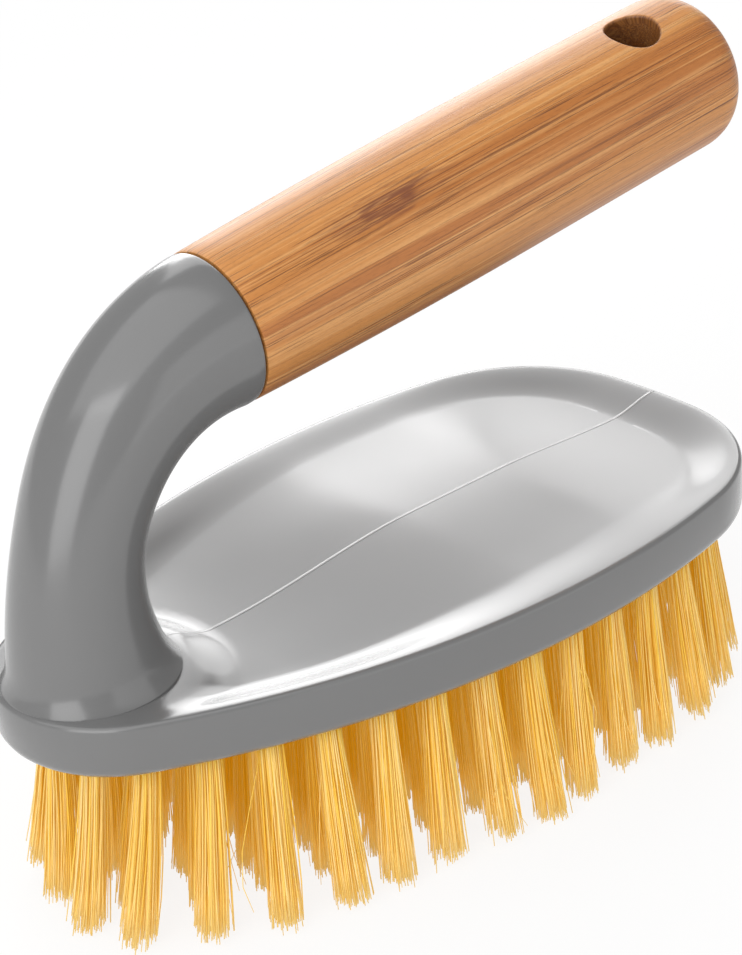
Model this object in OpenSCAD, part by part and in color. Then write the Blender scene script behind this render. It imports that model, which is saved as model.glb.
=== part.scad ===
// Hand scrub brush: a moulded body with a curved neck, a turned bamboo handle and four rows of tufts.
// X runs from the neck to the nose of the block, Y to its left side and Z up.
// The brush stands on the tips of its tufts at Z = 0, and X = 0 is the middle of its whole length.

/* [Block] */
// Length of the block, from its round rear end to its nose
block_l = 141; // [128:1:160]
// Width of the block at its widest place
block_w = 78; // [70:1:88]
// Height of the block's side, from the underside to the rim
block_h = 9.4; // [8.6:0.2:14]
// Distance of the widest place from the rear end
widest_x = 86.2; // [78:0.2:94]
// Radius of the rear end in plan
rear_r = 21.5; // [18:0.5:27]
// Radius of the two nose corners in plan
corner_r = 29; // [20:1:32]
// Radius of the blunt nose in plan, between its corners
nose_r = 139; // [100:1:200]
// Rounding of the lower edge
under_edge_r = 2.4; // [1:0.1:3]
// Rounding of the rim
rim_edge_r = 0.8; // [0.4:0.1:1.5]
// Distance from the rim over which the top falls to the dish
dish_slope_w = 11; // [7:1:15]
// Distance from the neck's foot over which the top falls to the dish
foot_slope_w = 9; // [6:1:12]
// Depth of the top below the rim where the neck stands
dish_foot_d = 0.4; // [0.2:0.1:1]
// Depth of the dish below the rim, by the neck
dish_rear_d = 3.2; // [1.6:0.1:3.4]
// Depth of the dish below the rim, on its crown
dish_crown_d = 0.5; // [0.2:0.1:1.5]
// Depth of the dish below the rim, by the nose
dish_nose_d = 1.6; // [0.6:0.1:2.4]
// Distance of the crown's rear end from the rear end of the block
crown_from = 80; // [70:1:86]
// Distance of the crown's front end from the rear end of the block
crown_to = 100; // [90:1:106]

/* [Neck] */
// Distance of the middle of the neck's foot from the rear end of the block
neck_x = 14.6; // [14.2:0.1:20]
// Radius of the neck where it leaves the block
neck_foot_r = 13.1; // [11:0.1:13.1]
// How much wider the neck flares where it meets the block
foot_flare = 0.9; // [0.4:0.1:1.1]
// Height over which the neck flares
flare_h = 4; // [2:0.5:6]
// Radius of the neck at its waist
neck_waist_r = 9.9; // [8:0.1:11]
// Share of the way up the neck at which the waist lies
waist_at = 0.42; // [0.3:0.01:0.6]
// How far back the neck leans as it rises
neck_lean = 3.4; // [0:0.1:5]
// Height over which the neck rises before it turns
neck_rise = 18.8; // [12:0.2:24]
// Length over which the neck runs out towards the handle
neck_reach = 24.5; // [18:0.5:30]
// Distance of the seam between neck and handle from the rear end of the block
seam_x = 44.8; // [42:0.1:52]
// Height of the seam's centre above the rim
seam_up = 46.2; // [42:0.1:56]
// Width of the plain collar at the seam
collar_w = 3; // [1:0.1:5]
// Step from the collar down to the neck
collar_step = 0.25; // [0.1:0.05:0.6]

/* [Handle] */
// Length of the bamboo handle
handle_l = 110; // [100:0.5:125]
// Diameter of collar and handle at the seam
seam_d = 25; // [23:0.1:27]
// Diameter of the handle past its swelling
handle_d = 27.4; // [26:0.1:32]
// Distance from the seam over which the handle swells
swell_l = 60; // [40:1:85]
// Length over which the free end rounds off
end_round_l = 8.4; // [4:0.2:12]
// Fullness of the rounded free end
end_fullness = 2.5; // [2:0.1:5]
// Upward tilt of the handle in degrees
handle_tilt = 6.5; // [4:0.1:11]
// Bevel at the seam end of the handle
seam_edge = 0.5; // [0.2:0.1:1]
// Diameter of the spigot in the handle
spigot_d = 12; // [9:0.5:14]
// Length of the spigot in the handle
spigot_l = 28; // [16:1:36]
// Diameter of the hanging hole
hang_d = 9.2; // [6:0.1:11]
// Distance of the hanging hole from the seam
hang_at = 91.7; // [80:0.1:95]
// Turn of the hanging hole about the handle in degrees, towards the right side
hang_turn = 14; // [0:1:30]

/* [Tufts] */
// Height of the underside above the tips
tuft_out = 31.5; // [24:0.5:42]
// Diameter of a tuft hole
tuft_d = 4.6; // [3.6:0.1:5]
// Depth of a tuft hole
tuft_in = 5; // [4:0.1:5.6]
// Distance between neighbours along a row
tuft_pitch = 9.4; // [8.4:0.1:12]
// Distance of the outer row from the side of the block
tuft_margin = 6.6; // [6.2:0.1:8]
// Distance of the outer row from the rear end of the block
rear_margin = 9.6; // [8:0.2:11]
// Outward lean of the outer row's tips
fan_out = 4.5; // [1:0.1:7]
// Distance of a strand's tip from the middle of its tuft
tip_spread = 2.2; // [1.4:0.1:2.5]
// Thickness of a strand at its tip, as a share of its root
tip_share = 0.7; // [0.4:0.05:0.9]
// Difference between long and short strands before the tips are cut
tip_uneven = 1.5; // [0.5:0.1:2]
// Depth of the flat cut across the tips
tip_cut = 0.5; // [0.2:0.1:0.5]

/* [Anchors] */
// Thickness of the flat anchor wire
anchor_t = 0.5; // [0.3:0.05:0.6]
// Width of the flat anchor wire
anchor_w = 1.6; // [1:0.1:2]
// How far each end of an anchor bites into the block
anchor_bite = 0.35; // [0.1:0.05:0.5]
// Height of the folded filament above an anchor
fold_h = 0.8; // [0.5:0.1:1.2]

/* [Fits] */
// Gap between a tuft and its hole
tuft_fit = 0.05; // [0.02:0.01:0.1]
// Gap around an anchor
anchor_fit = 0.02; // [0.01:0.01:0.05]
// Gap for glue around the spigot
glue_gap = 0.1; // [0.05:0.05:0.2]
// Gap between the collar and the handle's end
seam_gap = 0.25; // [0.1:0.05:0.4]

/* [Hidden] */
row_count = 4;
strands = 4; // strands in a tuft
upright_share = 0.15; // share of the neck over which its rings tip from level to square
root_sides = 2 * strands;
row_pitch = (block_w / 2 - tuft_margin) / (row_count - 0.5);
under_z = tuft_out;
rim_z = under_z + block_h;
hole_top_z = under_z + tuft_in;
seam_z = rim_z + seam_up;
axis_dir = [cos(handle_tilt), 0, sin(handle_tilt)];
seam_p = [seam_x, 0, seam_z];
neck_end_r = seam_d / 2 - collar_step;
foot_r = neck_foot_r + foot_flare;

// Circles that the plan is made of: each is a centre and a radius
side_r = (pow(widest_x - rear_r, 2) + pow(block_w / 2, 2) - pow(rear_r, 2)) / (block_w - 2 * rear_r);
rear_c = [rear_r, 0];
side_c = [widest_x, block_w / 2 - side_r];
nose_c = [block_l - nose_r, 0];
corner_c = meet(side_c, side_r - corner_r, nose_c, nose_r - corner_r);
rear_end = heading(rear_c - side_c);
side_end = heading(corner_c - side_c);
corner_end = heading(corner_c - nose_c);

// The middle of the block, which the rows of tufts go round
spine_a = block_w / 2;
spine_b = block_l - block_w / 2;
rear_draw = (spine_a - rear_margin) / (spine_a - tuft_margin);

// The handle's outline, from the seam to the free end, as radius and distance from the seam
handle_steps = 12;
end_steps = 12;
body_end = handle_l - end_round_l;
handle_profile = concat(
    [[seam_d / 2 - seam_edge, seam_gap]],
    [for (i = [0:handle_steps])
        let (s = seam_gap + seam_edge + (body_end - seam_gap - seam_edge) * i / handle_steps)
        [swelling(s), s]],
    [for (i = [1:end_steps - 1])
        let (a = 90 * i / end_steps)
        [swelling(body_end) * pow(1 - pow(sin(a), end_fullness), 1 / end_fullness),
         body_end + end_round_l * sin(a)]],
    [[0, handle_l]]
);
front_x = seam_x + max([for (p = handle_profile) p[1] * cos(handle_tilt) + p[0] * sin(handle_tilt)]);
tips_x = [for (p = row_points(0)) p[0]];
origin_x = (min(0, min(tips_x)) + max(front_x, block_l, max(tips_x))) / 2;

function heading(v) = atan2(v[1], v[0]);

// The upper meeting point of two circles
function meet(c1, r1, c2, r2) =
    let (
        d = c2 - c1,
        l = norm(d),
        e = d / l,
        along = (r1 * r1 - r2 * r2 + l * l) / (2 * l),
        off = sqrt(r1 * r1 - along * along),
        a = c1 + e * along + off * [-e[1], e[0]],
        b = c1 + e * along - off * [-e[1], e[0]]
    )
    a[1] > b[1] ? a : b;

function arc(c, r, from, to, steps) =
    [for (i = [0:steps - 1]) let (a = from + (to - from) * i / steps) c + r * [cos(a), sin(a)]];

// Left half of the block's outline, set in by a distance, from the rear end to the nose
function half_plan(inset) = concat(
    arc(rear_c, rear_r - inset, 180, rear_end, 9),
    arc(side_c, side_r - inset, rear_end, side_end, 20),
    arc(corner_c, corner_r - inset, side_end, corner_end, 9),
    arc(nose_c, nose_r - inset, corner_end, 0, 4),
    [[block_l - inset, 0]]
);

// The whole outline, from the rear end round the left side and back
function plan(inset) =
    let (h = half_plan(inset), n = len(h))
    concat(h, [for (i = [n - 2:-1:1]) [h[i][0], -h[i][1]]]);

// Soft step from 0 to 1
function ease(t) = let (c = max(0, min(1, t))) c * c * (3 - 2 * c);

// Depth of the dish along the block: deep by the neck, shallow on the crown and deeper by the nose
function floor_d(x) =
    let (rear_x = neck_x + foot_r + foot_slope_w, nose_x = block_l - dish_slope_w)
    dish_crown_d
    + (dish_rear_d - dish_crown_d) * ease((crown_from - x) / (crown_from - rear_x))
    + (dish_nose_d - dish_crown_d) * ease((x - crown_to) / (nose_x - crown_to));

// Height of the dished top at a place in plan that lies a distance in from the rim
function top_z(p, inset) =
    let (
        off_rim = ease((inset - rim_edge_r) / (dish_slope_w - rim_edge_r)),
        off_foot = ease((norm([p[0] - neck_x, p[1]]) - foot_r) / foot_slope_w)
    )
    rim_z - off_rim * (dish_foot_d + (floor_d(p[0]) - dish_foot_d) * off_foot);

function flat_ring(inset, z) = [for (p = plan(inset)) [p[0], p[1], z]];
function dish_ring(inset) = [for (p = plan(inset)) [p[0], p[1], top_z(p, inset)]];

// A ring on the dish's floor, drawn in towards the middle of the block by a share of the way
function floor_ring(share) =
    [for (p = plan(dish_slope_w))
        let (q = p + share * (spine_p(p) - p))
        [q[0], q[1], top_z(q, dish_slope_w)]];

// Faces of a skin over rings of n points; each end is closed by strips from side to side
function skin_faces(n, rings) = concat(
    [for (r = [0:rings - 2], i = [0:n - 1])
        let (a = r * n + i, b = r * n + (i + 1) % n)
        each quad(a, b, b + n, a + n)],
    [for (i = [0:n / 2 - 1])
        let (a = i, b = i + 1, c = n - i - 1, d = (n - i) % n)
        each strip(d, c, b, a)],
    [for (i = [0:n / 2 - 1])
        let (k = (rings - 1) * n, a = k + i, b = k + i + 1, c = k + n - i - 1, d = k + (n - i) % n)
        each strip(a, b, c, d)]
);

// Two triangles of a strip, or one where an end of the strip is a point
function strip(a, b, c, d) =
    a == d ? [[a, b, c]] :
    b == c ? [[a, b, d]] :
    [[a, b, c], [a, c, d]];

module skin(rings) {
    polyhedron(
        points = [for (r = rings) each r],
        faces = skin_faces(len(rings[0]), len(rings)),
        convexity = 6
    );
}

module block() {
    edge_steps = 4;
    dish_steps = 6;
    floor_steps = 5;
    skin(concat(
        [for (i = [0:edge_steps])
            let (a = 90 * i / edge_steps)
            flat_ring(under_edge_r * (1 - sin(a)), under_z + under_edge_r * (1 - cos(a)))],
        [for (i = [0:edge_steps])
            let (a = 90 * i / edge_steps)
            flat_ring(rim_edge_r * (1 - cos(a)), rim_z - rim_edge_r * (1 - sin(a)))],
        [for (i = [1:dish_steps])
            dish_ring(rim_edge_r + (dish_slope_w - rim_edge_r) * i / dish_steps)],
        [for (i = [1:floor_steps]) floor_ring(i / (floor_steps + 0.5))]
    ));
}

// The neck's centre line: a curve that rises from the block and runs out along the handle's axis
function neck_p(t) =
    let (
        a = [neck_x, 0, rim_z],
        b = a + [-neck_lean, 0, neck_rise],
        d = seam_p - collar_w / 2 * axis_dir,
        c = seam_p - neck_reach * axis_dir,
        u = 1 - t
    )
    u * u * u * a + 3 * u * u * t * b + 3 * u * t * t * c + t * t * t * d;

function neck_dir(t) =
    let (e = 0.001, v = neck_p(min(1, t + e)) - neck_p(max(0, t - e)))
    v / norm(v);

// The way that a ring of the neck faces: upright at the foot, and then along the centre line
function ring_dir(t) =
    let (share = ease(t / upright_share), v = share * neck_dir(t) + (1 - share) * [0, 0, 1])
    v / norm(v);

function neck_r(t) =
    t < waist_at
    ? neck_waist_r + (neck_foot_r - neck_waist_r) * pow(1 - t / waist_at, 2)
        + foot_flare * pow(max(0, 1 - t * 3 * neck_rise / flare_h), 2)
    : neck_waist_r + (neck_end_r - neck_waist_r) * pow((t - waist_at) / (1 - waist_at), 1.5);

function neck_ring(p, dir, r) =
    let (sides = 48, up = [-dir[2], 0, dir[0]])
    [for (i = [0:sides - 1]) let (a = 360 * i / sides) p + r * (cos(a) * up + sin(a) * [0, 1, 0])];

module neck() {
    neck_steps = 24;
    flare_steps = 3;
    root_z = (rim_z + hole_top_z) / 2;
    ts = concat(
        [for (i = [0:flare_steps - 1]) i / flare_steps / neck_steps],
        [for (i = [1:neck_steps]) i / neck_steps]
    );
    skin(concat(
        [neck_ring([neck_x, 0, root_z], [0, 0, 1], foot_r)],
        [for (t = ts) neck_ring(neck_p(t), ring_dir(t), neck_r(t))]
    ));
}

// Puts a shape drawn along Z from the seam onto the handle's axis
module along_handle() {
    translate(seam_p) rotate([0, 90 - handle_tilt, 0]) children();
}

function swelling(s) =
    handle_d / 2 - (handle_d - seam_d) / 2 * pow(max(0, 1 - s / swell_l), 2);

// Rows of tufts: row 0 is the outer one
function row_share(row) = (tuft_margin + row * row_pitch) / (block_w / 2);
function spine_p(p) = [min(max(p[0], spine_a), spine_b), 0];

// The path of a row: the outline drawn in towards the middle, and further at the rear end
function row_path(row) =
    [for (p = plan(0))
        let (c = spine_p(p), q = c + (p - c) * (1 - row_share(row)))
        [q[0] < spine_a ? spine_a + (q[0] - spine_a) * rear_draw : q[0], q[1]]];

// Running length of a closed path at each of its points
function running(path) =
    let (n = len(path))
    [for (i = 0, s = 0; i <= n; s = s + norm(path[(i + 1) % n] - path[i % n]), i = i + 1) s];

// Places of the tufts in a row, each as its centre and the heading of the row there
function tuft_places(row) =
    let (
        path = row_path(row),
        n = len(path),
        run = running(path),
        count = round(run[n] / tuft_pitch)
    )
    [for (k = [0:count - 1])
        let (
            s = run[n] * (k + 0.5) / count,
            i = max([for (j = [0:n - 1]) if (run[j] <= s) j]),
            a = path[i],
            b = path[(i + 1) % n]
        )
        [a + (b - a) * (s - run[i]) / (run[i + 1] - run[i]), heading(b - a)]];

// Points of one tuft: the root's upper ring, its lower ring with a middle point, and the strands' tips
function tuft_points(c, turn, lean, index) =
    let (
        r = tuft_d / 2 - tuft_fit,
        top = hole_top_z - tuft_fit,
        ring = [for (i = [0:root_sides - 1]) let (a = turn + 360 * i / root_sides) r * [cos(a), sin(a)]]
    )
    concat(
        [for (p = ring) [c[0] + p[0], c[1] + p[1], top]],
        [for (p = ring) [c[0] + p[0], c[1] + p[1], under_z]],
        [[c[0], c[1], under_z]],
        [for (k = [0:strands - 1])
            let (
                a = ring[2 * k],
                m = ring[2 * k + 1],
                b = ring[(2 * k + 2) % root_sides],
                middle = (a + m + b) / 4,
                tip = c + lean + m / norm(m) * tip_spread,
                z = max(0, tip_uneven * ((5 * index + 3 * k) % strands) / (strands - 1) - tip_cut)
            )
            each [for (p = [[0, 0], a, m, b])
                let (q = tip + (p - middle) * tip_share)
                [q[0], q[1], z]]]
    );

// Triangles of one tuft whose first point has number o
function tuft_faces(o) =
    let (n = root_sides, mid = o + 2 * n, tips = mid + 1)
    concat(
        [for (i = [1:n - 2]) [o, o + i + 1, o + i]],
        [for (i = [0:n - 1]) each quad(o + i, o + (i + 1) % n, o + n + (i + 1) % n, o + n + i)],
        [for (k = [0:strands - 1])
            let (
                root = [mid, o + n + 2 * k, o + n + 2 * k + 1, o + n + (2 * k + 2) % n],
                t = tips + 4 * k
            )
            each concat(
                [for (i = [0:3]) each quad(root[i], root[(i + 1) % 4], t + (i + 1) % 4, t + i)],
                quad(t, t + 1, t + 2, t + 3)
            )]
    );

function quad(a, b, c, d) = [[a, b, c], [a, c, d]];

// Points of all tufts in a row; the rows inside lean outward less than the outer one
function row_points(row) =
    let (places = tuft_places(row), share = (1 - row_share(row)) / (1 - row_share(0)))
    [for (k = [0:len(places) - 1])
        let (c = places[k][0], out = c - spine_p(c))
        each tuft_points(c, places[k][1], fan_out * share * out / norm(out), k)];

module strands_of(row) {
    size = 2 * root_sides + 1 + 4 * strands;
    polyhedron(
        points = row_points(row),
        faces = [for (k = [0:len(tuft_places(row)) - 1]) each tuft_faces(k * size)],
        convexity = 6
    );
}

// The anchors of a row, or the room for them where grow is above 0
module anchor_wires(row, grow) {
    z = hole_top_z - tuft_fit - fold_h - anchor_w - grow;
    for (p = tuft_places(row))
        translate([p[0][0], p[0][1], z])
            rotate([0, 0, p[1]])
                translate([-tuft_d / 2 - anchor_bite - grow, -anchor_t / 2 - grow, 0])
                    cube([tuft_d + 2 * (anchor_bite + grow), anchor_t + 2 * grow, anchor_w + 2 * grow]);
}

module tuft_holes(row) {
    below = 1;
    for (p = tuft_places(row))
        translate([p[0][0], p[0][1], under_z - below])
            cylinder(d = tuft_d, h = tuft_in + below, $fn = 48);
}

module place() {
    translate([-origin_x, 0, 0]) children();
}

module brush_body() {
    color("#7b7d7e") place() {
        difference() {
            block();
            for (row = [0:row_count - 1]) {
                tuft_holes(row);
                anchor_wires(row, anchor_fit);
            }
        }
        neck();
        along_handle() translate([0, 0, -collar_w]) cylinder(d = seam_d, h = collar_w, $fn = 96);
        along_handle() translate([0, 0, -2 * collar_w])
            cylinder(d = spigot_d, h = 2 * collar_w + spigot_l, $fn = 64);
    }
}

module handle() {
    color("#cf9560") place() along_handle() difference() {
        rotate_extrude($fn = 96) polygon(concat([[0, seam_gap]], handle_profile));
        translate([0, 0, -seam_gap])
            cylinder(d = spigot_d + 2 * glue_gap, h = spigot_l + seam_gap + glue_gap, $fn = 64);
        translate([0, 0, hang_at])
            rotate([0, 90, hang_turn])
                cylinder(d = hang_d, h = 2 * handle_d, center = true, $fn = 64);
    }
}

module tuft_row(row) {
    color("#f0be64") place() difference() {
        strands_of(row);
        anchor_wires(row, anchor_fit);
    }
}

module anchor_row(row) {
    color("#b9bcc0") place() anchor_wires(row, 0);
}

module tufts_outer() { tuft_row(0); }
module tufts_second() { tuft_row(1); }
module tufts_third() { tuft_row(2); }
module tufts_centre() { tuft_row(3); }
module anchors_outer() { anchor_row(0); }
module anchors_second() { anchor_row(1); }
module anchors_third() { anchor_row(2); }
module anchors_centre() { anchor_row(3); }

brush_body();
handle();
tufts_outer();
tufts_second();
tufts_third();
tufts_centre();
anchors_outer();
anchors_second();
anchors_third();
anchors_centre();
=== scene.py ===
# A hand scrub brush: grey moulded body, bamboo handle and golden tufts, dressed over its CAD frame.
import bpy
import bmesh
import numpy as np
from math import atan2, cos, hypot, pi, radians, sin, sqrt
from mathutils import Matrix, Vector


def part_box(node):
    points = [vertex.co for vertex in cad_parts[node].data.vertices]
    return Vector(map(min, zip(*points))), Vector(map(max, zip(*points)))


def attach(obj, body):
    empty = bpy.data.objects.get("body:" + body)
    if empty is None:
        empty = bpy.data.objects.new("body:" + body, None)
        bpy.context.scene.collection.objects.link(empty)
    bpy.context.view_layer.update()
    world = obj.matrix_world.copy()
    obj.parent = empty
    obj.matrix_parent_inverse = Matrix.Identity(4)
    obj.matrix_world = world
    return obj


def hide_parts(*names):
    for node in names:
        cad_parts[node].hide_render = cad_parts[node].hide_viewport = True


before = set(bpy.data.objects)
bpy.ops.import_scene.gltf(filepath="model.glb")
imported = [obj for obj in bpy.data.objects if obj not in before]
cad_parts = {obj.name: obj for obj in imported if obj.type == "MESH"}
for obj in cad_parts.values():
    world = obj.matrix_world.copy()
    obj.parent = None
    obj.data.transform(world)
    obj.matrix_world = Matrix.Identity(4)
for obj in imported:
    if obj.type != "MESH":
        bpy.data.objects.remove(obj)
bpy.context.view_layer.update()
mm = 0.001
touch = 0.01  # mm, points nearer than this count as level
crispAngle = 32  # degrees, edges sharper than this stay crisp
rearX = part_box("brush_body")[0][0] / mm  # the round rear end of the block, in millimetres

print("camera")
cameraSetup = {
    "lens": 60.32,  # for a picture that is 24 mm high
    "pictureHeight": 24.0,
    "nearest": 0.01,  # m
    "target": (75.49, 1.16, 48.67),  # mm, from the rear end of the block
    "distance": 396.3,  # mm
    "azimuth": -39.36,
    "elevation": 27.27,
    "roll": -5.16,
    "shift": (-0.0094, 0.0018),
}


def makeCamera(c):
    data = bpy.data.cameras.new("camera")
    data.sensor_fit = "VERTICAL"
    data.sensor_height = c["pictureHeight"]
    data.lens = c["lens"]
    data.shift_x, data.shift_y = c["shift"]
    data.clip_start = c["nearest"]
    camera = bpy.data.objects.new("camera", data)
    bpy.context.scene.collection.objects.link(camera)
    az, el = radians(c["azimuth"]), radians(c["elevation"])
    back = Vector((sin(az) * cos(el), -cos(az) * cos(el), sin(el)))
    right = Vector((cos(az), sin(az), 0))
    turn = Matrix.Rotation(radians(c["roll"]), 3, back)
    right = turn @ right
    up = back.cross(right)
    spot = (Vector(c["target"]) + Vector((rearX, 0, 0)) + back * c["distance"]) * mm
    camera.matrix_world = Matrix.Translation(spot) @ Matrix((right, up, back)).transposed().to_4x4()
    bpy.context.scene.camera = camera


makeCamera(cameraSetup)


class Value:
    # wraps a shader socket, so that maths on it adds Math nodes

    def __init__(self, kit, socket):
        self.kit = kit
        self.socket = socket

    def __add__(self, other):
        return self.kit.maths("ADD", self, other)

    def __radd__(self, other):
        return self.kit.maths("ADD", other, self)

    def __sub__(self, other):
        return self.kit.maths("SUBTRACT", self, other)

    def __rsub__(self, other):
        return self.kit.maths("SUBTRACT", other, self)

    def __mul__(self, other):
        return self.kit.maths("MULTIPLY", self, other)

    def __rmul__(self, other):
        return self.kit.maths("MULTIPLY", other, self)

    def __truediv__(self, other):
        return self.kit.maths("DIVIDE", self, other)

    def __rtruediv__(self, other):
        return self.kit.maths("DIVIDE", other, self)

    def __abs__(self):
        return self.kit.maths("ABSOLUTE", self)


class Finish:
    # one material: its nodes, and the helpers that add them

    def __init__(self, name):
        self.material = bpy.data.materials.new(name)
        self.material.use_nodes = True
        self.tree = self.material.node_tree
        self.tree.nodes.clear()
        self.output = self.tree.nodes.new("ShaderNodeOutputMaterial")

    def add(self, kind, settings=None, sockets=None, out=0):
        node = self.tree.nodes.new(kind)
        for key, value in (settings or {}).items():
            setattr(node, key, value)
        pairs = enumerate(sockets) if isinstance(sockets, list) else (sockets or {}).items()
        for key, value in pairs:
            if isinstance(value, Value):
                self.tree.links.new(value.socket, node.inputs[key])
            else:
                node.inputs[key].default_value = value
        return Value(self, node.outputs[out])

    def maths(self, operation, *values):
        return self.add("ShaderNodeMath", {"operation": operation}, list(values))

    def length(self, *parts):
        return self.maths("SQRT", sum(p * p for p in parts))

    def coords(self, move=(0, 0, 0), turn=(0, 0, 0), scale=(1, 1, 1)):
        where = self.add("ShaderNodeTexCoord", out="Object")
        return self.add("ShaderNodeMapping", {"vector_type": "TEXTURE"},
                        {"Vector": where, "Location": move, "Rotation": turn, "Scale": scale})

    def parts(self, vector):
        node = self.tree.nodes.new("ShaderNodeSeparateXYZ")
        self.tree.links.new(vector.socket, node.inputs[0])
        return [Value(self, s) for s in node.outputs]

    def noise(self, where, scale, detail, roughness=0.5):
        return self.add("ShaderNodeTexNoise", None,
                        {"Vector": where, "Scale": scale, "Detail": detail, "Roughness": roughness})

    def band(self, value, low, high, toLow=0.0, toHigh=1.0):
        # a soft step from toLow to toHigh, as the value goes from low to high
        return self.add("ShaderNodeMapRange", {"interpolation_type": "SMOOTHSTEP"},
                        [value, low, high, toLow, toHigh])

    def mix(self, amount, one, other):
        one, other = ((*c, 1) if isinstance(c, tuple) else c for c in (one, other))
        return self.add("ShaderNodeMix", {"data_type": "RGBA"}, {0: amount, 6: one, 7: other}, 2)

    def bump(self, height):
        # the height is in metres
        return self.add("ShaderNodeBump", None, {"Height": height, "Distance": 1.0, "Strength": 1.0})

    def finish(self, shader):
        self.tree.links.new(shader.socket, self.output.inputs[0])
        return self.material

    def surface(self, **sockets):
        names = {k.replace("_", " "): v for k, v in sockets.items()}
        return self.finish(self.add("ShaderNodeBsdfPrincipled", None, names))


print("shared shapes")
blockSizes = {
    "length": 141.0,
    "width": 78.0,
    "height": 9.4,
    "underside": 31.5,  # above the tips
    "widestAt": 86.2,
    "rearRadius": 21.5,
    "cornerRadius": 29.0,
    "noseRadius": 139.0,
    "arcSteps": (9, 20, 9, 4),  # on the rear, side, corner and nose arcs of half the outline
    "fineness": 4,  # this many times more steps on the block itself
    "lowerRounding": 2.4,
    "lowerSteps": 5,
    "rimRounding": 0.7,
    "rimSteps": 3,
    "dishSlope": 11.0,
    "slopeSteps": 20,
    "footSlope": 9.0,
    "dishFoot": 0.4,  # depths below the rim: where the neck stands, by the neck, on the crown, by the nose
    "dishRear": 3.2,
    "dishCrown": 0.5,
    "dishNose": 1.6,
    "crown": (80.0, 100.0),
    "floorCuts": 15,
    "camber": 0.45,  # how much higher the middle of the dish's floor stands than its sides
    "camberWidth": 27.0,
    "camberRear": (45.0, 35.0),  # where it starts to rise, and over what length
    "camberNose": (8.0, 30.0),  # how far from the nose it ends, and over what length it falls
}
neckSizes = {
    "footAt": 14.6,
    "footDepth": 3.0,  # where the neck starts inside the block, above the underside
    "footRadius": 13.1,
    "waistRadius": 9.9,
    "waistAt": 0.42,
    "lean": 3.4,
    "rise": 18.8,
    "reach": 24.5,
    "flare": 0.9,
    "flareHeight": 4.0,
    "uprightShare": 0.15,
    "collarWidth": 3.0,
    "collarRadius": 12.5,
    "collarCurve": 1.5,
    "edgeRounding": 0.5,
    "edgeSteps": 5,
    "seamAt": 44.8,
    "seamUp": 46.2,
    "tilt": 6.5,
    "sides": 96,
    "rings": 60,
    "fineSpan": 2,  # the first two ring spaces are divided more finely, for the flare
    "fineRings": 8,
}
handleSizes = {
    "length": 110.0,
    "seamRadius": 12.5,
    "radius": 13.7,
    "swell": 60.0,
    "endLength": 8.4,
    "endFullness": 2.5,
    "seamEdge": 0.5,
    "seamCorner": 0.15,  # share of the seam's edge that the middle of its rounding is cut back
    "seamGap": 0.25,
    "steps": 24,
    "sides": 128,
    "holeRadius": 4.6,
    "holeAt": 91.7,
    "holeTurn": 14.0,
    "holeRounding": 0.5,
    "holeSides": 64,
    "holeSteps": 5,
    "cutterReach": 1.5,  # how far the hole's cutter stands out of the handle
}
underZ = blockSizes["underside"]
rimZ = underZ + blockSizes["height"]
seamPoint = Vector((neckSizes["seamAt"], 0, rimZ + neckSizes["seamUp"]))
tilt = radians(neckSizes["tilt"])
axisWay = Vector((cos(tilt), 0, sin(tilt)))


def circleMeet(c1, r1, c2, r2):
    step = c2 - c1
    gap = step.length
    along = (r1 * r1 - r2 * r2 + gap * gap) / (2 * gap)
    off = sqrt(r1 * r1 - along * along)
    way = step / gap
    points = [c1 + way * along + s * off * Vector((-way.y, way.x)) for s in (1, -1)]
    return max(points, key=lambda p: p.y)


def arcPoints(centre, radius, start, end, steps):
    return [centre + radius * Vector((cos(a), sin(a)))
            for a in (start + (end - start) * i / steps for i in range(steps))]


def outline(b, fineness=1):
    # the block's outline seen from above, clockwise from the rear end, in millimetres from that end
    half = b["width"] / 2
    rearR, cornerR, noseR = b["rearRadius"], b["cornerRadius"], b["noseRadius"]
    sideR = ((b["widestAt"] - rearR) ** 2 + half ** 2 - rearR ** 2) / (2 * (half - rearR))
    rear = Vector((rearR, 0))
    side = Vector((b["widestAt"], half - sideR))
    nose = Vector((b["length"] - noseR, 0))
    corner = circleMeet(side, sideR - cornerR, nose, noseR - cornerR)
    a1 = atan2(*(rear - side).yx)
    a2 = atan2(*(corner - side).yx)
    a3 = atan2(*(corner - nose).yx)
    rearSteps, sideSteps, cornerSteps, noseSteps = (steps * fineness for steps in b["arcSteps"])
    left = arcPoints(rear, rearR, pi, a1, rearSteps)
    left += arcPoints(side, sideR, a1, a2, sideSteps)
    left += arcPoints(corner, cornerR, a2, a3, cornerSteps)
    left += arcPoints(nose, noseR, a3, 0, noseSteps)
    left.append(Vector((b["length"], 0)))
    return left + [Vector((p.x, -p.y)) for p in left[-2:0:-1]]


def ease(t):
    t = min(1, max(0, t))
    return t * t * (3 - 2 * t)


def dishDrop(b, n, spot, inset):
    # how far the dished top lies below the rim, at a spot that is a distance in from the rim
    footEdge = n["footRadius"] + n["flare"]
    rearLow = n["footAt"] + footEdge + b["footSlope"]
    noseLow = b["length"] - b["dishSlope"]
    crownRear, crownFront = b["crown"]
    depth = b["dishCrown"]
    depth += (b["dishRear"] - b["dishCrown"]) * ease((crownRear - spot.x) / (crownRear - rearLow))
    depth += (b["dishNose"] - b["dishCrown"]) * ease((spot.x - crownFront) / (noseLow - crownFront))
    offRim = ease((inset - b["rimRounding"]) / (b["dishSlope"] - b["rimRounding"]))
    offFoot = ease((hypot(spot.x - n["footAt"], spot.y) - footEdge) / b["footSlope"])
    return offRim * (b["dishFoot"] + (depth - b["dishFoot"]) * offFoot)


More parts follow.
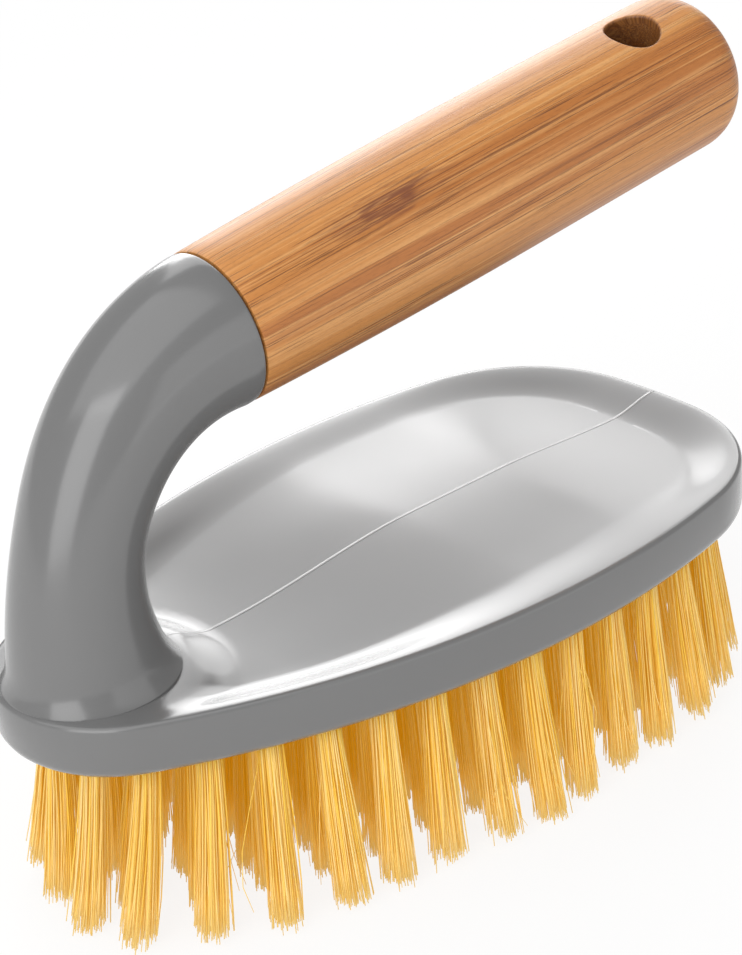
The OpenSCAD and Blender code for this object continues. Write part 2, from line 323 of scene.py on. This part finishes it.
def ringEdges(ring):
    edges = []
    for a, b in zip(ring, ring[1:] + ring[:1]):
        edges.append(next(e for e in a.link_edges if e.other_vert(a) is b))
    return edges


def matchRing(old, made):
    # the new ring's points, in the old ring's order
    fresh = {v for v in made if isinstance(v, bmesh.types.BMVert)}
    return [next(e.other_vert(v) for e in v.link_edges if e.other_vert(v) in fresh) for v in old]


def stackRings(stations, sides, placeRing):
    # a closed tube with one ring of points at each station
    bm = bmesh.new()
    ring = list(bmesh.ops.create_circle(bm, segments=sides, radius=1, cap_ends=True)["verts"])
    placeRing(ring, stations[0])
    for station in stations[1:]:
        made = bmesh.ops.extrude_edge_only(bm, edges=ringEdges(ring))["geom"]
        ring = matchRing(ring, made)
        placeRing(ring, station)
    bm.faces.new(ring)
    bmesh.ops.recalc_face_normals(bm, faces=bm.faces)
    return bm


def softShade(bm):
    bm.normal_update()
    for face in bm.faces:
        face.smooth = True
    for edge in bm.edges:
        edge.smooth = len(edge.link_faces) == 2 and edge.calc_face_angle(0) < radians(crispAngle)


def makePiece(name, bm, material, node):
    # turns a bmesh in millimetres from the block's rear end into a piece in the CAD frame
    bmesh.ops.translate(bm, vec=(rearX, 0, 0), verts=bm.verts)
    bmesh.ops.scale(bm, vec=(mm, mm, mm), verts=bm.verts)
    softShade(bm)
    mesh = bpy.data.meshes.new(name)
    bm.to_mesh(mesh)
    bm.free()
    placePiece(name, mesh, material, node)


def placePiece(name, mesh, material, node):
    piece = bpy.data.objects.new(name, mesh)
    bpy.context.scene.collection.objects.link(piece)
    mesh.materials.append(material)
    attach(piece, "root")
    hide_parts(node)


print("moulded body")
bodyLook = {
    "grey": (0.158, 0.158, 0.158),
    "mottle": 0.04,  # share by which the grey varies
    "roughness": 0.2,
    "roughSpread": (0.9, 1.15),
    "coat": 0.3,
    "coatRoughness": 0.14,
    "clouds": (18, 2),  # scale and detail of the noise, here and below
    "grain": (1600, 2),
    "patches": (60, 3),
    "wander": (14, 1),
    "waves": 0.00005,  # m, faint sink marks
    "grainHeight": 0.0000005,
    "lineFrom": (-0.055, -0.053),  # m, where the parting line fades in on the block
    "lineUpTo": (0.05, 0.045),  # m, where it fades out on the neck
    "lineWidth": 0.0002,
    "lineWander": 0.0016,
    "lineHeight": 0.00008,
    # the parting line is painted a lighter grey: a painted highlight on top of its real ridge bump
    "partingHighlightGrey": (0.34, 0.34, 0.34),
    "partingHighlightStrength": 0.7,
}


def bodyPlastic(v):
    f = Finish("grey gloss plastic")
    where = f.coords()
    x, y, z = f.parts(where)
    clouds = f.noise(where, *v["clouds"])
    wander = (f.noise(where, *v["wander"]) - 0.5) * v["lineWander"]
    line = f.band(abs(y + wander), v["lineWidth"] * 2, v["lineWidth"] * 0.4)
    line = line * f.band(x, *v["lineFrom"]) * f.band(z, *v["lineUpTo"])
    height = clouds * v["waves"] + f.noise(where, *v["grain"]) * v["grainHeight"] + line * v["lineHeight"]
    darker, lighter = (tuple(c * share for c in v["grey"]) for share in (1 - v["mottle"], 1 + v["mottle"]))
    colour = f.mix(clouds, darker, lighter)
    # painted highlight along the parting line
    colour = f.mix(line * v["partingHighlightStrength"], colour, v["partingHighlightGrey"])
    least, most = (v["roughness"] * share for share in v["roughSpread"])
    rough = f.band(f.noise(where, *v["patches"]), 0.3, 0.7, least, most)
    return f.surface(Base_Color=colour, Roughness=rough, Normal=f.bump(height),
                     Coat_Weight=v["coat"], Coat_Roughness=v["coatRoughness"])


def blockShape(b, n):
    bm = bmesh.new()
    base = bm.faces.new([bm.verts.new((p.x, p.y, underZ)) for p in outline(b, b["fineness"])])
    top = bmesh.ops.extrude_face_region(bm, geom=[base])["geom"]
    topFace = next(g for g in top if isinstance(g, bmesh.types.BMFace))
    bmesh.ops.translate(bm, vec=(0, 0, b["height"]), verts=topFace.verts[:])
    bmesh.ops.recalc_face_normals(bm, faces=bm.faces)
    roundEdges(bm, underZ, b["lowerRounding"], b["lowerSteps"])
    roundEdges(bm, rimZ, b["rimRounding"], b["rimSteps"])
    topFace = max(bm.faces, key=lambda g: g.normal.z * g.calc_area())
    inset = b["rimRounding"]
    step = (b["dishSlope"] - inset) / b["slopeSteps"]
    for i in range(b["slopeSteps"]):
        bmesh.ops.inset_region(bm, faces=[topFace], thickness=step, use_even_offset=True)
        inset += step
        for v in topFace.verts:
            v.co.z = rimZ - dishDrop(b, n, v.co, inset)
    for v in crossTop(bm, topFace, b["floorCuts"]):
        v.co.z = rimZ - dishDrop(b, n, v.co, inset) + camberRise(b, v.co)
    return bm


def roundEdges(bm, level, radius, steps):
    # rounds the edges that lie at a level
    edges = [e for e in bm.edges if all(abs(v.co.z - level) < touch for v in e.verts)]
    bmesh.ops.bevel(bm, geom=edges, affect="EDGES", offset=radius, segments=steps,
                    profile=0.5, material=-1)


def crossTop(bm, face, cuts):
    # joins the left and right points of the dish's floor, divides the strips and gives back their points
    left = sorted((v for v in face.verts if v.co.y > touch), key=lambda v: v.co.x)
    right = sorted((v for v in face.verts if v.co.y < -touch), key=lambda v: v.co.x)
    across = []
    for a, b in zip(left, right):
        across += bmesh.ops.connect_verts(bm, verts=[a, b])["edges"]
    made = bmesh.ops.subdivide_edges(bm, edges=across, cuts=cuts, use_grid_fill=True)
    return {g for g in made["geom"] if isinstance(g, bmesh.types.BMVert)}


def camberRise(b, spot):
    across = max(0, 1 - (spot.y / b["camberWidth"]) ** 2)
    start, riseLength = b["camberRear"]
    noseGap, fallLength = b["camberNose"]
    rise = ease((spot.x - start) / riseLength)
    fall = ease((b["length"] - noseGap - spot.x) / fallLength)
    return b["camber"] * across ** 2 * rise * fall


def neckCurve(n, t):
    # the middle of the neck, with t from 0 at the foot to 1 at the collar
    foot = Vector((n["footAt"], 0, rimZ))
    over = foot + Vector((-n["lean"], 0, n["rise"]))
    end = seamPoint - n["collarWidth"] / 2 * axisWay
    before = seamPoint - n["reach"] * axisWay
    u = 1 - t
    return u ** 3 * foot + 3 * u * u * t * over + 3 * u * t * t * before + t ** 3 * end


def neckWay(n, t):
    step = 0.001
    return (neckCurve(n, min(1, t + step)) - neckCurve(n, max(0, t - step))).normalized()


def neckRadius(n, t):
    waist, waistAt = n["waistRadius"], n["waistAt"]
    if t < waistAt:
        height = t * 3 * n["rise"]  # above the rim, near the foot
        flare = n["flare"] * max(0, 1 - height / n["flareHeight"]) ** 2
        return waist + (n["footRadius"] - waist) * (1 - t / waistAt) ** 2 + flare
    return waist + (n["collarRadius"] - waist) * ((t - waistAt) / (1 - waistAt)) ** n["collarCurve"]


def ringWay(n, t):
    # rings are level at the foot, and soon stand square to the curve
    share = ease(t / n["uprightShare"])
    return (share * neckWay(n, t) + (1 - share) * Vector((0, 0, 1))).normalized()


def neckShape(n):
    sides, rings, fineSpan, fineRings = n["sides"], n["rings"], n["fineSpan"], n["fineRings"]
    foot = Vector((n["footAt"], 0, underZ + n["footDepth"]))
    stations = [(foot, Vector((0, 0, 1)), n["footRadius"] + n["flare"])]
    fineShares = [fineSpan * i / fineRings / rings for i in range(fineRings)]
    for t in fineShares + [i / rings for i in range(fineSpan, rings + 1)]:
        stations.append((neckCurve(n, t), ringWay(n, t), neckRadius(n, t)))
    rounding, steps = n["edgeRounding"], n["edgeSteps"]
    for a in (pi / 2 * i / steps for i in range(steps + 1)):
        centre = seamPoint - rounding * (1 - sin(a)) * axisWay
        stations.append((centre, axisWay, n["collarRadius"] - rounding * (1 - cos(a))))

    def placeRing(verts, station):
        centre, way, radius = station
        up = Vector((-way.z, 0, way.x))
        for i, v in enumerate(verts):
            a = 2 * pi * i / sides
            v.co = centre + radius * (cos(a) * up + sin(a) * Vector((0, 1, 0)))

    return stackRings(stations, sides, placeRing)


def joinShapes(bm, other):
    mesh = bpy.data.meshes.new("joined")
    other.to_mesh(mesh)
    other.free()
    bm.from_mesh(mesh)
    bpy.data.meshes.remove(mesh)
    return bm


body = joinShapes(blockShape(blockSizes, neckSizes), neckShape(neckSizes))
makePiece("moulded_body", body, bodyPlastic(bodyLook), "brush_body")

print("bamboo handle")
bambooLook = {
    "pale": (0.74, 0.39, 0.14),
    "light": (0.58, 0.24, 0.057),
    "deep": (0.45, 0.157, 0.031),
    "dark": (0.11, 0.032, 0.007),
    "scar": (0.19, 0.055, 0.02),
    "roughness": 0.48,
    "gloss": 0.4,
    "coat": 0.28,
    "coatRoughness": 0.35,
    "grainRadius": 13.7,  # mm, the lines follow the surface as if the handle were this thick all along
    "grainLeast": 0.9,  # share of that radius, further in the lines run straight
    # each pattern's grains: how long and wide in millimetres, their detail, and roughness if not 0.5
    "grains": {"hue": (300, 8, 1), "busy": (110, 3.2, 2), "tone": (130, 1.3, 3), "shine": (120, 0.5, 1),
               "speckle": (1.6, 0.25, 2, 0.7), "lines": (70, 0.36, 1), "streaks": (24, 0.27, 1),
               "dashes": (6, 0.22, 2), "ragged": (7, 0.7, 3), "scarred": (7, 0.36, 3)},
    # the levels of noise between which a pattern sets in, and what it goes from and to if not 0 and 1
    "levels": {"hue": (0.42, 0.58), "busy": (0.38, 0.6, 0.3, 1.0), "tone": (0.48, 0.72),
               "shine": (0.6, 0.7), "speckle": (0.45, 0.7), "lines": (0.58, 0.66),
               "streaks": (0.59, 0.67), "dashes": (0.59, 0.67), "scarred": (0.42, 0.6, 0.2, 0.9)},
    "strengths": {"tone": 0.6, "shine": 0.5, "speckle": 0.14, "lines": 0.62, "streaks": 0.68,
                  "dashes": 0.4, "knot": 0.6},
    "linesDepth": 0.00002,  # m
    "streaksDepth": 0.00003,
    "scarAt": (30.0, -9.3, 9.8),  # mm: along the handle, to the left and up
    "scarSize": (13.0, 3.5),
    "scarRagged": 1.8,
    "scarEdge": (1.2, 0.2),
    "knotSize": (5.0, 1.6),
    "knotRagged": 1.2,
    "knotRing": 0.8,
    "knotEdge": (0.4, 0.1),
    "holeShadeEdge": (0.45, 0.05),  # mm outside the hole, where the painted shade on its wall sets in
    "holeLevels": (0.35, 0.65, 0.6, 0.95),
}


def bamboo(v, h):
    f = Finish("turned bamboo")
    place = (seamPoint + Vector((rearX, 0, 0))) * mm
    x, y, z = f.parts(f.coords(move=tuple(place), turn=(0, -tilt, 0)))
    thick = f.maths("MAXIMUM", f.length(y, z), v["grainLeast"] * v["grainRadius"] * mm)
    grow = v["grainRadius"] * mm / thick
    grain = f.add("ShaderNodeCombineXYZ", None, [x, y * grow, z * grow])

    def grains(name):
        along, across, detail, *roughness = v["grains"][name]
        scale = (1000 / along, 1000 / across, 1000 / across)
        spread = f.add("ShaderNodeMapping", {"vector_type": "POINT"}, {"Vector": grain, "Scale": scale})
        return f.noise(spread, 1.0, detail, *roughness)

    def pattern(name):
        return f.band(grains(name), *v["levels"][name])

    strengths = v["strengths"]
    busy = pattern("busy")
    lines = pattern("lines")
    streaks = pattern("streaks")
    speckle = grains("speckle")
    colour = f.mix(pattern("hue"), v["light"], v["deep"])
    colour = f.mix(pattern("tone") * strengths["tone"], colour, v["pale"])
    colour = f.mix(pattern("shine") * strengths["shine"], colour, v["pale"])
    colour = f.mix(f.band(speckle, *v["levels"]["speckle"]) * strengths["speckle"], colour, v["dark"])
    colour = f.mix(lines * busy * strengths["lines"], colour, v["dark"])
    colour = f.mix(streaks * busy * strengths["streaks"], colour, v["dark"])
    colour = f.mix(pattern("dashes") * busy * strengths["dashes"], colour, v["dark"])

    along, left, up = (c * mm for c in v["scarAt"])

    def fromScar(size):
        length, width = (c * mm for c in size)
        return f.length((x - along) * (1 / length), (y - left) * (1 / width), (z - up) * (1 / width))

    ragged = grains("ragged") - 0.5
    scar = f.band(fromScar(v["scarSize"]) + ragged * v["scarRagged"], *v["scarEdge"]) * pattern("scarred")
    knot = abs(fromScar(v["knotSize"]) + ragged * v["knotRagged"] - v["knotRing"])
    colour = f.mix(scar, colour, v["scar"])
    colour = f.mix(f.band(knot, *v["knotEdge"]) * strengths["knot"], colour, v["scar"])

    turn = radians(h["holeTurn"])
    hole = f.length(x - h["holeAt"] * mm, y * cos(turn) + z * sin(turn))
    # painted shade on the hole's wall and round its mouth, broken up by the speckle
    holeShade = f.band(hole, *((h["holeRadius"] + out) * mm for out in v["holeShadeEdge"]))
    colour = f.mix(holeShade * f.band(speckle, *v["holeLevels"]), colour, v["dark"])
    height = lines * -v["linesDepth"] + streaks * -v["streaksDepth"]
    return f.surface(Base_Color=colour, Roughness=v["roughness"], Normal=f.bump(height),
                     Specular_IOR_Level=v["gloss"], Coat_Weight=v["coat"],
                     Coat_Roughness=v["coatRoughness"])


def handleRadius(h, s):
    return h["radius"] - (h["radius"] - h["seamRadius"]) * max(0, 1 - s / h["swell"]) ** 2


def handleProfile(h):
    # pairs of radius and distance along the handle
    steps, edge, gap = h["steps"], h["seamEdge"], h["seamGap"]
    bodyEnd = h["length"] - h["endLength"]
    first = gap + edge
    corner = h["seamCorner"] * edge
    points = [(0, gap), (h["seamRadius"] - edge, gap), (h["seamRadius"] - corner, gap + corner)]
    for i in range(steps + 1):
        s = first + (bodyEnd - first) * i / steps
        points.append((handleRadius(h, s), s))
    for i in range(1, steps):
        a = pi / 2 * i / steps
        r = handleRadius(h, bodyEnd) * (1 - sin(a) ** h["endFullness"]) ** (1 / h["endFullness"])
        points.append((r, bodyEnd + h["endLength"] * sin(a)))
    points.append((0, h["length"]))
    return points


def spinProfile(points, steps):
    bm = bmesh.new()
    verts = [bm.verts.new((r, 0, s)) for r, s in points]
    edges = [bm.edges.new(pair) for pair in zip(verts, verts[1:])]
    bmesh.ops.spin(bm, geom=verts + edges, cent=(0, 0, 0), axis=(0, 0, 1), angle=2 * pi,
                   steps=steps, use_merge=True)
    bmesh.ops.remove_doubles(bm, verts=bm.verts, dist=0.001)
    bmesh.ops.recalc_face_normals(bm, faces=bm.faces)
    return bm


def holeCutter(h):
    # a bar whose ends flare along the handle's surface, so that the mouths come out rounded
    sides, steps, flare, reach = h["holeSides"], h["holeSteps"], h["holeRounding"], h["cutterReach"]
    levels = [(h["holeRadius"] + flare + reach, reach)]
    for a in (pi / 2 * i / steps for i in range(steps + 1)):
        levels.append((h["holeRadius"] + flare * (1 - sin(a)), -flare * (1 - cos(a))))
    levels = [(r, rise, 1) for r, rise in levels] + [(r, rise, -1) for r, rise in reversed(levels)]

    def placeRing(verts, level):
        r, rise, way = level
        for i, v in enumerate(verts):
            a = 2 * pi * i / sides
            v.co = (r * cos(a), r * sin(a), 0)
            v.co.z = way * (sqrt(h["radius"] ** 2 - v.co.y ** 2) + rise)

    return stackRings(levels, sides, placeRing)


def cutShape(bm, cutter):
    # takes the cutter away from a shape, and gives back the new shape
    objects = []
    for shape in (bm, cutter):
        mesh = bpy.data.meshes.new("cutting")
        shape.to_mesh(mesh)
        shape.free()
        objects.append(bpy.data.objects.new("cutting", mesh))
        bpy.context.scene.collection.objects.link(objects[-1])
    cut = objects[0].modifiers.new("cut", "BOOLEAN")
    cut.operation = "DIFFERENCE"
    cut.solver = "EXACT"
    cut.object = objects[1]
    bpy.context.view_layer.update()
    result = bmesh.new()
    result.from_object(objects[0], bpy.context.evaluated_depsgraph_get())
    for o in objects:
        mesh = o.data
        bpy.data.objects.remove(o)
        bpy.data.meshes.remove(mesh)
    return result


def handleShape(h):
    bar = spinProfile(handleProfile(h), h["sides"])
    cutter = holeCutter(h)
    bmesh.ops.rotate(cutter, verts=cutter.verts, matrix=Matrix.Rotation(radians(90), 3, "Y"))
    bmesh.ops.rotate(cutter, verts=cutter.verts, matrix=Matrix.Rotation(radians(h["holeTurn"]), 3, "Z"))
    bmesh.ops.translate(cutter, verts=cutter.verts, vec=(0, 0, h["holeAt"]))
    bm = cutShape(bar, cutter)
    bmesh.ops.rotate(bm, verts=bm.verts, matrix=Matrix.Rotation(pi / 2 - tilt, 3, "Y"))
    bmesh.ops.translate(bm, verts=bm.verts, vec=seamPoint)
    return bm


makePiece("bamboo_handle", handleShape(handleSizes), bamboo(bambooLook, handleSizes), "handle")

print("tufts")
tuftSizes = {
    "rows": ["outer", "second", "third", "centre"],
    "pitch": 9.4,
    "margin": 6.6,
    "rearMargin": 9.6,
    "rootRadius": 1.9,
    "rootDepth": 1.0,  # how far inside the block the strands start
    "filaments": 170,
    "filamentRadius": 0.135,
    "thickness": (0.85, 1.15),  # share of that radius, least and most
    "taper": 0.35,
    "taperCurve": 10,  # high, so that only the tip is thinner
    "sides": 3,
    "steps": 5,
    "lean": 4.5,
    "rearLean": 2.0,
    "bendCurve": 1.25,
    "flare": 1.45,
    "tuftTurn": 0.7,  # how far a whole tuft's tips stray, and a strand's own
    "tipTurn": 0.4,
    "tuftEnds": 1.3,  # how much higher a whole tuft may end
    "uneven": 1.3,
    "roundEnd": 1.3,
    "longShare": 0.06,  # of the strands reach lower, to this share of their tips' height at most
    "longEnd": 0.4,
    "sway": 0.32,
    "strays": 0.013,  # share of loose strands, which turn, sway and end higher, and are thinner
    "strayTurn": 2.0,
    "straySway": 8,
    "strayRise": 2.0,
    "strayThickness": 0.6,
    "seed": 7,
}
tuftLook = {
    "light": (0.88, 0.67, 0.29),
    "dark": (0.87, 0.56, 0.065),
    "tips": (0.9, 0.72, 0.36),
    "tipsFrom": 0.5,  # share of the strand
    "tipsStrength": 0.3,
    "glow": (0.6, 0.324, 0.003),
    "tipGlow": (0.95, 0.6, 0.12),
    "tipGlowFrom": 0.7,
    "glowStrength": 0.25,  # stands for the light that scatters inside the strands
    "roughness": 0.36,
}


def filamentPlastic(v):
    f = Finish("golden filament")
    chance, along = f.parts(f.add("ShaderNodeUVMap", {"uv_map": "strand"}))[:2]
    colour = f.mix(chance, v["light"], v["dark"])
    colour = f.mix(f.band(along, v["tipsFrom"], 1.0) * v["tipsStrength"], colour, v["tips"])
    # painted light: the emission stands in for light scattered inside the strands, and is stronger towards
    # the tips
    glow = f.mix(f.band(along, v["tipGlowFrom"], 1.0), v["glow"], v["tipGlow"])
    return f.surface(Base_Color=colour, Roughness=v["roughness"],
                     Emission_Color=glow, Emission_Strength=v["glowStrength"])


def rowPlaces(t, b, row):
    # the middle of each tuft in a row, the way out of the block there, and the row's share of the lean
    half = b["width"] / 2
    spacing = (half - t["margin"]) / (len(t["rows"]) - 0.5)
    share = (t["margin"] + row * spacing) / half
    points = outline(b)
    spine = [Vector((min(max(p.x, half), b["length"] - half), 0)) for p in points]
    path = [s + (p - s) * (1 - share) for s, p in zip(spine, points)]
    for p in path:
        if p.x < half:
            p.x = half + (p.x - half) * (half - t["rearMargin"]) / (half - t["margin"])
    steps = [(q - p).length for p, q in zip(path, path[1:] + path[:1])]
    count = round(sum(steps) / t["pitch"])
    places, walked, i = [], 0, 0
    for k in range(count):
        goal = sum(steps) * (k + 0.5) / count
        while walked + steps[i] < goal:
            walked += steps[i]
            i += 1
        spot = path[i].lerp(path[(i + 1) % len(path)], (goal - walked) / steps[i])
        middle = Vector((min(max(spot.x, half), b["length"] - half), 0))
        places.append((spot, (spot - middle).normalized()))
    return places, (1 - share) / (1 - t["margin"] / half)


def oneStrand(t):
    # a strand along Z, one unit long and one unit in radius: its points and faces

    def placeRing(verts, z):
        for v in verts:
            v.co.z = z

    bm = stackRings([i / t["steps"] for i in range(t["steps"] + 1)], t["sides"], placeRing)
    bm.verts.index_update()
    points = np.array([v.co[:] for v in bm.verts])
    faces = [[v.index for v in face.verts] for face in bm.faces]
    bm.free()
    return points, faces


def strandPoints(t, b, row, unit, chance):
    # the points of every strand in a row, in millimetres in the CAD frame
    places, leanShare = rowPlaces(t, b, row)
    perTuft = t["filaments"]
    total = len(places) * perTuft
    middle = np.repeat([[p.x, p.y] for p, out in places], perTuft, axis=0)
    outward = np.repeat([[out.x, out.y] for p, out in places], perTuft, axis=0)

    # where the strands stand in the block, and where their tips are, seen from above
    spread = t["rootRadius"] * np.sqrt(chance.random(total))
    angle = 2 * pi * chance.random(total)
    off = np.stack([np.cos(angle), np.sin(angle)], axis=1) * spread[:, None]
    tuftTurn = np.repeat(chance.normal(0, t["tuftTurn"], (len(places), 2)), perTuft, axis=0)
    root = middle + off
    tip = (middle + off * t["flare"] + outward * t["lean"] * leanShare + tuftTurn
           + chance.normal(0, t["tipTurn"], (total, 2)))
    tip[:, 0] -= np.where(middle[:, 1] < 0, t["rearLean"], 0)
    stray = chance.random(total) < t["strays"]
    tip += np.where(stray[:, None], chance.normal(0, t["strayTurn"], (total, 2)), 0)
    sway = chance.normal(0, 1, (total, 2)) * t["sway"] * np.where(stray, t["straySway"], 1)[:, None]

    # how high the tips end
    tuftEnd = np.repeat(chance.uniform(0, t["tuftEnds"], len(places)), perTuft)
    tipZ = tuftEnd + np.abs(chance.normal(0, t["uneven"], total)) + np.where(stray, t["strayRise"], 0)
    tipZ += t["roundEnd"] * (spread / t["rootRadius"]) ** 2 * chance.random(total)
    tipZ *= np.where(chance.random(total) < t["longShare"], chance.random(total) * t["longEnd"], 1)

    # the bent strands, and the ring of points round each step of them
    along = unit[:, 2]
    bend = along ** t["bendCurve"]
    wave = np.sin(pi * along) * along
    centre = (root[:, None, :] + (tip - root)[:, None, :] * bend[None, :, None]
              + sway[:, None, :] * wave[None, :, None])
    radius = t["filamentRadius"] * chance.uniform(*t["thickness"], total)
    radius = radius * np.where(stray, t["strayThickness"], 1)
    radius = radius[:, None] * (1 - t["taper"] * along ** t["taperCurve"])[None, :]
    turn = 2 * pi * chance.random(total)
    c, s = np.cos(turn)[:, None], np.sin(turn)[:, None]
    ringX = unit[None, :, 0] * c - unit[None, :, 1] * s
    ringY = unit[None, :, 0] * s + unit[None, :, 1] * c
    top = underZ + t["rootDepth"]
    points = np.empty((total, len(unit), 3))
    points[:, :, 0] = rearX + centre[:, :, 0] + ringX * radius
    points[:, :, 1] = centre[:, :, 1] + ringY * radius
    points[:, :, 2] = top + (tipZ - top)[:, None] * along[None, :]
    return points


def tuftRow(t, b, row, material):
    name = "tufts_" + t["rows"][row]
    chance = np.random.default_rng(t["seed"] + row)
    unit, faces = oneStrand(t)
    points = strandPoints(t, b, row, unit, chance)
    total, size = points.shape[:2]
    mesh = bpy.data.meshes.new(name)
    mesh.from_pydata((points.reshape(-1, 3) * mm).tolist(), [],
                     [[k * size + i for i in face] for k in range(total) for face in faces])
    mesh.shade_smooth()
    strand = mesh.uv_layers.new(name="strand")  # a random number for each strand, and how far along it
    index = np.empty(len(mesh.loops), dtype=np.int32)
    mesh.loops.foreach_get("vertex_index", index)
    tone = chance.random(total)
    uv = np.stack([tone[index // size], unit[index % size, 2]], axis=1)
    strand.data.foreach_set("uv", uv.astype(np.float32).ravel())
    placePiece(name + "_strands", mesh, material, name)


filamentMaterial = filamentPlastic(tuftLook)
for row in range(len(tuftSizes["rows"])):
    tuftRow(tuftSizes, blockSizes, row, filamentMaterial)

print("anchors")
anchorLook = {
    "colour": (0.6, 0.61, 0.62),
    "roughness": 0.35,
    "roughSpread": (0.8, 1.2),
    "grainSize": (0.001, 0.0002, 0.0002),  # m
}


def anchorWire(v):
    f = Finish("drawn wire")
    least, most = (v["roughness"] * share for share in v["roughSpread"])
    rough = f.band(f.noise(f.coords(scale=v["grainSize"]), 1.0, 2), 0.3, 0.7, least, most)
    return f.surface(Base_Color=(*v["colour"], 1), Metallic=1.0, Roughness=rough)


wire = anchorWire(anchorLook)
for name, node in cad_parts.items():
    if name.startswith("anchors_"):
        node.data.materials.clear()
        node.data.materials.append(wire)

print("stage")
stageLook = {
    "floorSize": 6.0,
    "floor": (0.9, 0.9, 0.9),
    "clean": (0.86, 1.0),  # how far the floor is washed out to white for the camera, near and far
    "cleanReach": (0.12, 0.5),  # m
    "sky": 0.4,
    "lampsAimAt": (0, 0, 0.05),  # m
}
lamps = [
    {"name": "back_left", "at": (0.63, 0.99, 0.36), "size": (0.46, 0.55), "power": 3.7},
    {"name": "back_right", "at": (0.95, 0.69, 0.36), "size": (0.38, 0.55), "power": 2.1},
    {"name": "back_upper", "at": (0.61, 0.71, 0.84), "size": (0.85, 0.6), "power": 3.1},
    {"name": "top_softbox", "at": (-0.35, -0.05, 0.9), "size": (1.3, 1.0), "power": 5.2},
    {"name": "left_fill", "at": (-1.03, -0.4, 0.52), "size": (0.8, 1.0), "power": 7},
    {"name": "near_fill", "at": (0.35, -1.12, 0.3), "size": (1.2, 0.8), "power": 2.6},
]


def makeFloor(v):
    bm = bmesh.new()
    bmesh.ops.create_grid(bm, x_segments=1, y_segments=1, size=v["floorSize"] / 2)
    mesh = bpy.data.meshes.new("floor")
    bm.to_mesh(mesh)
    bm.free()
    f = Finish("pale floor")
    seen = f.maths("MAXIMUM", f.add("ShaderNodeLightPath", out="Is Camera Ray"),
                   f.add("ShaderNodeLightPath", out="Is Glossy Ray"))
    x, y = f.parts(f.coords())[:2]
    clean = f.band(f.length(x, y), *v["cleanReach"], *v["clean"])
    plain = f.add("ShaderNodeBsdfDiffuse", None, {"Color": (*v["floor"], 1)})
    white = f.add("ShaderNodeEmission", None, {"Color": (1, 1, 1, 1), "Strength": 1.0})
    mesh.materials.append(f.finish(f.add("ShaderNodeMixShader", None, [seen * clean, plain, white])))
    floor = bpy.data.objects.new("floor", mesh)
    bpy.context.scene.collection.objects.link(floor)


def makeSky(v):
    # white for the camera, and dimmer as a light
    world = bpy.data.worlds.new("studio")
    bpy.context.scene.world = world
    world.use_nodes = True
    tree = world.node_tree
    tree.nodes.clear()
    path = tree.nodes.new("ShaderNodeLightPath")
    level = tree.nodes.new("ShaderNodeMapRange")
    tree.links.new(path.outputs["Is Camera Ray"], level.inputs["Value"])
    level.inputs["To Min"].default_value = v["sky"]
    level.inputs["To Max"].default_value = 1.0
    glow = tree.nodes.new("ShaderNodeBackground")
    glow.inputs["Color"].default_value = (1, 1, 1, 1)
    tree.links.new(level.outputs[0], glow.inputs["Strength"])
    output = tree.nodes.new("ShaderNodeOutputWorld")
    tree.links.new(glow.outputs[0], output.inputs[0])


def makeLamp(v, aim):
    data = bpy.data.lights.new(v["name"], "AREA")
    data.shape = "RECTANGLE"
    data.size, data.size_y = v["size"]
    data.energy = v["power"]
    lamp = bpy.data.objects.new(v["name"], data)
    bpy.context.scene.collection.objects.link(lamp)
    lamp.location = v["at"]
    lamp.rotation_euler = (Vector(v["at"]) - Vector(aim)).to_track_quat("Z", "Y").to_euler()


makeFloor(stageLook)
makeSky(stageLook)
for lamp in lamps:
    makeLamp(lamp, stageLook["lampsAimAt"])
bpy.context.scene.view_settings.view_transform = "Standard"
